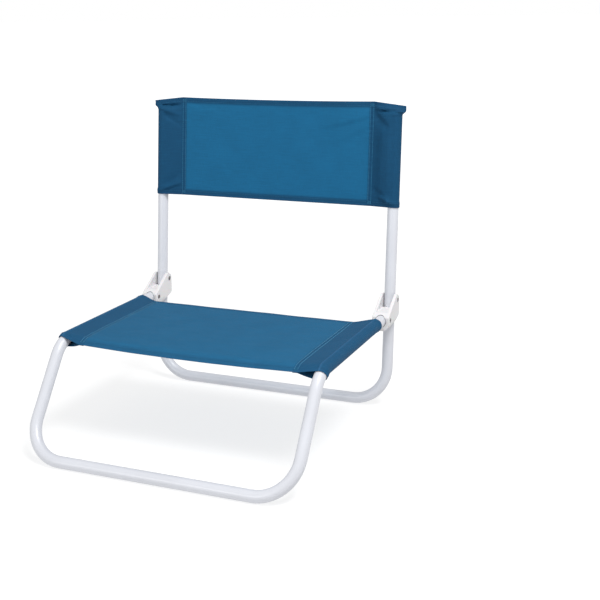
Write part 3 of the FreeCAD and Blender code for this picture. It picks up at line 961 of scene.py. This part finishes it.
def scuff_group():
    """Rubbed marks that grow towards the floor, from the place in metres."""
    group, entry, out = node_group(
        "floor_scuffs",
        [("Place", "NodeSocketVector", None), ("Reach", "NodeSocketFloat", 0.02)],
        [("Mask", "NodeSocketFloat")],
    )
    split = group.nodes.new("ShaderNodeSeparateXYZ")
    group.links.new(entry["Place"], split.inputs[0])
    near = range_node(group, split.outputs["Z"], 0.0, entry["Reach"], 1.0, 0.0)
    streaks = noise_node(group, stretch(group, entry["Place"], SCUFF_STRETCH), detail=4.0, roughness=0.65)
    marks = range_node(group, streaks, *SCUFF_NOISE, 0.0, 1.0)
    group.links.new(math_node(group, "MULTIPLY", near, marks, clamp=True), out["Mask"])
    return group


def socket_gap_shade_group():
    """Painted shade in the narrow gap between each rail and its socket's mouth, from the place in metres.
    """
    group, entry, out = node_group(
        "socket_gap_painted_shade",
        [("Place", "NodeSocketVector", None), ("Half Width", "NodeSocketFloat", 0.2),
         ("Axis Height", "NodeSocketFloat", 0.1), ("Gap Radius", "NodeSocketFloat", 0.01)],
        [("Mask", "NodeSocketFloat")],
    )
    split = group.nodes.new("ShaderNodeSeparateXYZ")
    group.links.new(entry["Place"], split.inputs[0])
    outward = math_node(group, "ABSOLUTE", split.outputs["X"])
    sideways = math_node(group, "SUBTRACT", outward, entry["Half Width"])
    upward = math_node(group, "SUBTRACT", split.outputs["Z"], entry["Axis Height"])
    square = math_node(group, "ADD", math_node(group, "MULTIPLY", sideways, sideways),
                       math_node(group, "MULTIPLY", upward, upward))
    away = math_node(group, "SUBTRACT", math_node(group, "SQRT", square), entry["Gap Radius"])
    group.links.new(range_node(group, away, *GAP_EDGE, 1.0, 0.0), out["Mask"])
    return group


WEAVE = plain_weave_group()
GRAIN = fine_grain_group()
SCUFFS = scuff_group()
SOCKET_GAP_SHADE = socket_gap_shade_group()


def place_group(tree, group, **values):
    """Put a shader group in a material; an underscore in a socket's name stands for a space."""
    node = tree.nodes.new("ShaderNodeGroup")
    node.node_tree = group
    for label, value in values.items():
        feed(tree, node.inputs[label.replace("_", " ")], value)
    return node.outputs


# ======================================================================================
# Materials
# ======================================================================================

PAINT_ROUGHNESS = (0.30, 0.40)
PATCH_SHADE = 0.95            # of the faint patches in the paint
MOULD_SHADE = 0.94            # of those in the plastic
SCUFF_COLOUR = (0.35, 0.34, 0.33, 1.0)
SCUFF_REACH = 0.012
# painted shade: the dark colour of the narrow gap round each rail
GAP_SHADE_COLOUR = (0.05, 0.05, 0.052, 1.0)
PLASTIC_SWING = 0.06          # of its roughness
STEEL_SWING = 0.1
SPOT_NOISE = (0.45, 0.7)      # noise over which a dark spot appears in the plating
SPOT_COVER = 0.6
SPOT_SHADE = 0.5
THREAD_PITCH = 0.00062        # of the weave
CLOTH_ROUGHNESS = (0.62, 0.74)
SLUB_SPAN = (0.32, 0.68)      # the mean of two noises spreads less than one
SLUB_SHADES = (0.90, 1.10)
STREAK_SHADES = (0.93, 1.07)
CLOUD_SHADES = (0.96, 1.04)
VALLEY_PAINTED_SHADES = (0.80, 1.06)  # painted shade between the threads and painted highlight on top of them
CREASE_LIGHT_SHARE = 0.65             # how far a crease goes to its lighter colour, a painted highlight along the seat's rail crease
CREASE_LIGHT_GAIN = 1.5
CREASE_LIGHT_LIFT = 0.018
STREAK_STRETCH = (24.0, 620.0, 1.0)
CLOUD_SCALE = 22.0
SHEEN_TINT = (0.45, 0.75, 1.0, 1.0)
TURNED_STRETCH = (5000.0, 300.0, 300.0)
FIBRE_SCALE = 9000.0
FIBRE_SHADE = 0.7
FIBRE_ROUGHNESS = (0.5, 0.7)


def new_material(name):
    material = bpy.data.materials.new(name)
    material.use_nodes = True
    tree = material.node_tree
    return material, tree, tree.nodes["Principled BSDF"]


def object_place(tree):
    return tree.nodes.new("ShaderNodeTexCoord").outputs["Object"]


def attribute(tree, name):
    node = tree.nodes.new("ShaderNodeAttribute")
    node.attribute_name = name
    return node.outputs


def tinted(colour, share, lift=0.0):
    """The colour with each channel times share, plus lift."""
    return tuple(channel * share + lift for channel in colour[:3]) + (1.0,)


def bump(tree, shader, height, distance, strength):
    node = tree.nodes.new("ShaderNodeBump")
    node.inputs["Strength"].default_value = strength
    node.inputs["Distance"].default_value = distance
    feed(tree, node.inputs["Height"], height)
    tree.links.new(node.outputs["Normal"], shader.inputs["Normal"])


def powder_coat(name, colour, worn):
    """Satin powder coat: slight orange peel, faint patches, and rubbed spots where it meets the floor.

    worn is how far a rubbed spot goes to its darker colour.
    """
    material, tree, shader = new_material(name)
    place = object_place(tree)
    grain = place_group(tree, GRAIN, Place=place, Peel_Scale=700.0, Speckle_Scale=2600.0)
    patches = spread_noise(tree, grain["Patches"], 0.0, 1.0)
    base = mix_colour(tree, patches, colour, tinted(colour, PATCH_SHADE))
    marks = place_group(tree, SCUFFS, Place=place, Reach=SCUFF_REACH)
    base = mix_colour(tree, math_node(tree, "MULTIPLY", marks["Mask"], worn), base, SCUFF_COLOUR)
    tree.links.new(base, shader.inputs["Base Color"])
    tree.links.new(spread_noise(tree, grain["Speckle"], *PAINT_ROUGHNESS), shader.inputs["Roughness"])
    shader.inputs["Coat Weight"].default_value = 0.25
    shader.inputs["Coat Roughness"].default_value = 0.2
    bump(tree, shader, grain["Height"], distance=0.00012, strength=0.5)
    return material


def moulded_plastic(name, colour, roughness, grain_depth):
    """Moulded polypropylene with a fine spark-eroded texture, painted shade where a rail goes into it."""
    material, tree, shader = new_material(name)
    place = object_place(tree)
    grain = place_group(tree, GRAIN, Place=place, Peel_Scale=1400.0, Speckle_Scale=5200.0)
    patches = spread_noise(tree, grain["Patches"], 0.0, 1.0)
    base = mix_colour(tree, patches, colour, tinted(colour, MOULD_SHADE))
    # painted shade in the narrow gap round each rail, mixed into the plastic's colour
    gap_shade = place_group(tree, SOCKET_GAP_SHADE, Place=place, Half_Width=HALF_WIDTH, Axis_Height=RAIL_Z,
                        Gap_Radius=TUBE_R + MOUTH_GAP)
    base = mix_colour(tree, gap_shade["Mask"], base, GAP_SHADE_COLOUR)
    tree.links.new(base, shader.inputs["Base Color"])
    rough = spread_noise(tree, grain["Speckle"], roughness - PLASTIC_SWING, roughness + PLASTIC_SWING)
    tree.links.new(rough, shader.inputs["Roughness"])
    shader.inputs["Subsurface Weight"].default_value = 0.05
    shader.inputs["Subsurface Scale"].default_value = 0.002
    bump(tree, shader, grain["Height"], distance=grain_depth, strength=0.6)
    return material


def plated_steel(name, colour, roughness):
    """Dull zinc plate with turning marks and small dark spots."""
    material, tree, shader = new_material(name)
    place = object_place(tree)
    grain = place_group(tree, GRAIN, Place=place, Peel_Scale=1800.0, Speckle_Scale=5000.0)
    spots = range_node(tree, grain["Speckle"], *SPOT_NOISE, 0.0, SPOT_COVER)
    base = mix_colour(tree, spots, colour, tinted(colour, SPOT_SHADE))
    tree.links.new(base, shader.inputs["Base Color"])
    shader.inputs["Metallic"].default_value = 1.0
    turned = noise_node(tree, stretch(tree, place, TURNED_STRETCH))
    rough = spread_noise(tree, turned, roughness - STEEL_SWING, roughness + STEEL_SWING)
    tree.links.new(rough, shader.inputs["Roughness"])
    bump(tree, shader, turned, distance=0.00005, strength=0.5)
    return material


def woven_cloth(name, single, shaded_by_layers):
    """Plain-weave polyester; single is the colour with painted light through one layer, the other painted
    shade.
    """
    material, tree, shader = new_material(name)
    flat_place = attribute(tree, "flat_place")["Vector"]
    weave = place_group(tree, WEAVE, Flat_Place=flat_place, Thread_Pitch=THREAD_PITCH)
    # painted light through one layer, painted shade where more layers stop it
    base = mix_colour(tree, attribute(tree, "layer_painted_shade")["Fac"], single, shaded_by_layers)
    # painted highlight along the seat's rail crease; lighter colour along the back's folded edges
    crease_light = math_node(tree, "MULTIPLY", attribute(tree, "lighter_crease")["Fac"], CREASE_LIGHT_SHARE)
    base = mix_colour(tree, crease_light, base, tinted(shaded_by_layers, CREASE_LIGHT_GAIN, CREASE_LIGHT_LIFT))
    slub = range_node(tree, weave["Slub"], *SLUB_SPAN, *SLUB_SHADES)
    shade = math_node(tree, "MULTIPLY", slub, weave["Thread Shade"])
    streaks = noise_node(tree, stretch(tree, flat_place, STREAK_STRETCH), detail=3.0, roughness=0.6)
    shade = math_node(tree, "MULTIPLY", shade, spread_noise(tree, streaks, *STREAK_SHADES))
    cloudy = noise_node(tree, flat_place, CLOUD_SCALE, detail=3.0)
    shade = math_node(tree, "MULTIPLY", shade, spread_noise(tree, cloudy, *CLOUD_SHADES))
    # painted shade in the hollows between threads, painted highlight on their tops
    valley_painted_shade = range_node(tree, weave["Height"], 0.0, 1.0, *VALLEY_PAINTED_SHADES)
    shade = math_node(tree, "MULTIPLY", shade, valley_painted_shade)
    grey = tree.nodes.new("ShaderNodeCombineColor")
    for channel in range(3):
        tree.links.new(shade, grey.inputs[channel])
    base = mix_colour(tree, 1.0, base, grey.outputs[0], "MULTIPLY")
    tree.links.new(base, shader.inputs["Base Color"])
    tree.links.new(spread_noise(tree, weave["Slub"], *CLOTH_ROUGHNESS), shader.inputs["Roughness"])
    shader.inputs["Sheen Weight"].default_value = 0.02
    shader.inputs["Sheen Roughness"].default_value = 0.45
    shader.inputs["Sheen Tint"].default_value = SHEEN_TINT
    shader.inputs["Specular IOR Level"].default_value = 0.12
    bump(tree, shader, weave["Height"], distance=0.00012, strength=0.7)
    return material


def spun_thread(name, colour):
    """Polyester thread with fine fibres and hardly any shine."""
    material, tree, shader = new_material(name)
    fibres = noise_node(tree, object_place(tree), FIBRE_SCALE)
    base = mix_colour(tree, fibres, tinted(colour, FIBRE_SHADE), colour)
    tree.links.new(base, shader.inputs["Base Color"])
    tree.links.new(spread_noise(tree, fibres, *FIBRE_ROUGHNESS), shader.inputs["Roughness"])
    shader.inputs["Sheen Weight"].default_value = 0.06
    shader.inputs["Specular IOR Level"].default_value = 0.15
    bump(tree, shader, fibres, distance=0.00008, strength=0.6)
    return material


frame_paint = powder_coat("white_powder_coat", (0.680, 0.695, 0.745, 1.0), worn=0.35)
bracket_plastic = moulded_plastic("white_bracket_plastic", (0.785, 0.775, 0.785, 1.0), roughness=0.45,
                                  grain_depth=0.00006)
cap_plastic = moulded_plastic("black_cap_plastic", (0.03, 0.03, 0.032, 1.0), roughness=0.5,
                              grain_depth=0.00008)
rivet_steel = plated_steel("dull_rivet_steel", (0.30, 0.30, 0.31, 1.0), roughness=0.45)
mandrel_steel = plated_steel("dark_mandrel_steel", (0.14, 0.14, 0.145, 1.0), roughness=0.5)
# each cloth's colours: painted light through one layer, painted shade where more layers stop it
seat_cloth_finish = woven_cloth("seat_woven_cloth", single=(0.0148, 0.121, 0.249, 1.0),
                                shaded_by_layers=(0.0121, 0.0786, 0.1725, 1.0))
back_cloth_finish = woven_cloth("back_woven_cloth", single=(0.0088, 0.122, 0.260, 1.0),
                                shaded_by_layers=(0.0064, 0.0555, 0.1280, 1.0))
seat_thread_finish = spun_thread("seat_light_blue_thread", (0.120, 0.410, 0.620, 1.0))
back_thread_finish = spun_thread("back_blue_thread", (0.045, 0.260, 0.450, 1.0))
hem_thread_finish = spun_thread("hem_blue_thread", (0.018, 0.140, 0.270, 1.0))

NODE_FINISH = {
    "front_frame_tube": frame_paint,
    "back_frame_tube": frame_paint,
    "hinge_bracket": bracket_plastic,
    "pivot_rivet": rivet_steel,
    "pivot_washer": rivet_steel,
    "socket_rivet_mandrel": mandrel_steel,
    "socket_rivet": rivet_steel,
    "post_cap": cap_plastic,
}


def finish_cad_nodes():
    """Give each CAD node the finish whose name fits the most of its own."""
    for node, piece in frame["nodes"].items():
        kinds = [kind for kind in NODE_FINISH if node.startswith(kind)]
        if kinds:
            piece.data.materials.clear()
            piece.data.materials.append(NODE_FINISH[max(kinds, key=len)])


# ======================================================================================
# Pieces
# ======================================================================================

def make_seat():
    along = along_stations(SEAT_DEPTH, SEAT_MESH_ROWS)
    cloth = cloth_piece("seat_sling_cloth", seat_section.stations(), along, seat_place, seat_layers,
                        seat_creased, seat_cloth_finish)
    seams = thread_piece("seat_sleeve_seam_thread", seat_seam_stitches(), seat_thread_finish)
    hems = thread_piece("seat_hem_thread", seat_hem_stitches(), hem_thread_finish)
    keep(cloth, seams, hems, "seat_frame", "seat_sling")


def make_back():
    along = along_stations(BACK_DEPTH, BACK_MESH_ROWS)
    cloth = cloth_piece("back_sling_cloth", back_section.stations(), along, back_place, back_layers,
                        back_creased, back_cloth_finish)
    seams = thread_piece("back_pocket_seam_thread", back_seam_stitches(), back_thread_finish)
    hems = thread_piece("back_hem_thread", back_hem_stitches(), hem_thread_finish)
    keep(cloth, seams, hems, "back_frame", "back_sling")


def keep(cloth, seams, hems, body, node):
    """Hang a sling's pieces on their body in place of the plain CAD solids."""
    for piece, stood_for, finish_slot in (
        (cloth, node, "sling_cloth"),
        (seams, node + "_seam_stitching", "thread"),
        (hems, node + "_hem_stitching", "thread"),
    ):
        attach(piece, body)
        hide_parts(stood_for)


# ======================================================================================
# Studio
# ======================================================================================

CAMERA_PLACE = Vector((0.7772, -1.5060, 0.6879))
CAMERA_YAW = math.radians(22.825)
CAMERA_PITCH = math.radians(12.815)
CAMERA_ROLL = math.radians(-0.767)
CAMERA_LENS = 64.25           # and the sensor, in millimetres
CAMERA_SENSOR = 36.0
CAMERA_SHIFT_Y = -0.0833
ROOM_LIGHT = 0.45
WHITE = (1.0, 1.0, 1.0, 1.0)
FLOOR_R = 60.0
FLOOR_SIDES = 96
FLOOR_DARK = (0.34, 0.34, 0.34, 1.0)
FLOOR_PALE = (0.37, 0.37, 0.37, 1.0)
FLOOR_GLOW_NEAR = 0.74        # up to 0.8 m from the chair's middle, rising to full at 3 m
FLOOR_GLOW_SPAN = (0.8, 3.0)
FLOOR_GLOW_SHARE = 0.66       # of the floor's glow that lights the chair

# softboxes: name, place, width and height, watts
SOFTBOXES = [
    ("key_softbox", (1.0, -0.5, 2.3), (1.0, 1.0), 46.0),
    ("fill_softbox", (-1.0, -2.7, 0.8), (1.6, 1.0), 20.0),
]


def add_camera():
    lens = bpy.data.cameras.new("camera")
    lens.lens = CAMERA_LENS
    lens.sensor_width = CAMERA_SENSOR
    lens.shift_y = CAMERA_SHIFT_Y
    camera = bpy.data.objects.new("camera", lens)
    bpy.context.scene.collection.objects.link(camera)
    back = Vector((math.sin(CAMERA_YAW) * math.cos(CAMERA_PITCH),
                   -math.cos(CAMERA_YAW) * math.cos(CAMERA_PITCH),
                   math.sin(CAMERA_PITCH)))
    turn = back.to_track_quat("Z", "Y") @ Quaternion((0.0, 0.0, 1.0), CAMERA_ROLL)
    camera.matrix_world = Matrix.Translation(CAMERA_PLACE) @ turn.to_matrix().to_4x4()
    bpy.context.scene.camera = camera


def add_softbox(name, place, aim, size, power):
    light = bpy.data.lights.new(name, "AREA")
    light.shape = "RECTANGLE"
    light.size, light.size_y = size
    light.energy = power
    lamp = bpy.data.objects.new(name, light)
    bpy.context.scene.collection.objects.link(lamp)
    towards = Vector(aim) - Vector(place)
    lamp.matrix_world = Matrix.Translation(place) @ towards.to_track_quat("-Z", "Y").to_matrix().to_4x4()


def add_studio():
    """A white room that lights the chair less than it shows, two softboxes and the floor."""
    world = bpy.data.worlds.new("studio")
    world.use_nodes = True
    tree = world.node_tree
    behind = tree.nodes["Background"]
    behind.inputs["Color"].default_value = WHITE
    seen = tree.nodes.new("ShaderNodeLightPath").outputs["Is Camera Ray"]
    tree.links.new(range_node(tree, seen, 0.0, 1.0, ROOM_LIGHT, 1.0), behind.inputs["Strength"])
    bpy.context.scene.world = world
    bpy.context.scene.view_settings.view_transform = "Standard"
    low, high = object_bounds()
    for name, place, size, power in SOFTBOXES:
        add_softbox(name, place, (low + high) / 2, size, power)
    add_floor()


def add_floor():
    """A round of pale paper, wide enough that its far edge melts into the white behind it."""
    angles = [2 * math.pi * step / FLOOR_SIDES for step in range(FLOOR_SIDES)]
    verts = [(FLOOR_R * math.cos(angle), FLOOR_R * math.sin(angle), 0.0) for angle in angles]
    mesh = bpy.data.meshes.new("studio_floor")
    mesh.from_pydata(verts, [], [tuple(range(FLOOR_SIDES))])
    floor = bpy.data.objects.new("studio_floor", mesh)
    bpy.context.scene.collection.objects.link(floor)
    mesh.materials.append(floor_paper())


def floor_paper():
    """Pale paper with a glow that grows away from the chair, and lights it less than it shows."""
    material, tree, shader = new_material("pale_floor_paper")
    place = object_place(tree)
    soft = noise_node(tree, place, 3.0, detail=3.0)
    tree.links.new(mix_colour(tree, soft, FLOOR_DARK, FLOOR_PALE), shader.inputs["Base Color"])
    shader.inputs["Roughness"].default_value = 0.9
    shader.inputs["Specular IOR Level"].default_value = 0.0
    away = tree.nodes.new("ShaderNodeVectorMath")
    away.operation = "LENGTH"
    tree.links.new(place, away.inputs[0])
    glow = range_node(tree, away.outputs["Value"], *FLOOR_GLOW_SPAN, FLOOR_GLOW_NEAR, 1.0)
    seen = tree.nodes.new("ShaderNodeLightPath").outputs["Is Camera Ray"]
    share = range_node(tree, seen, 0.0, 1.0, FLOOR_GLOW_SHARE, 1.0)
    tree.links.new(math_node(tree, "MULTIPLY", glow, share), shader.inputs["Emission Color"])
    shader.inputs["Emission Strength"].default_value = 1.0
    return material


finish_cad_nodes()
make_seat()
make_back()
add_studio()
add_camera()
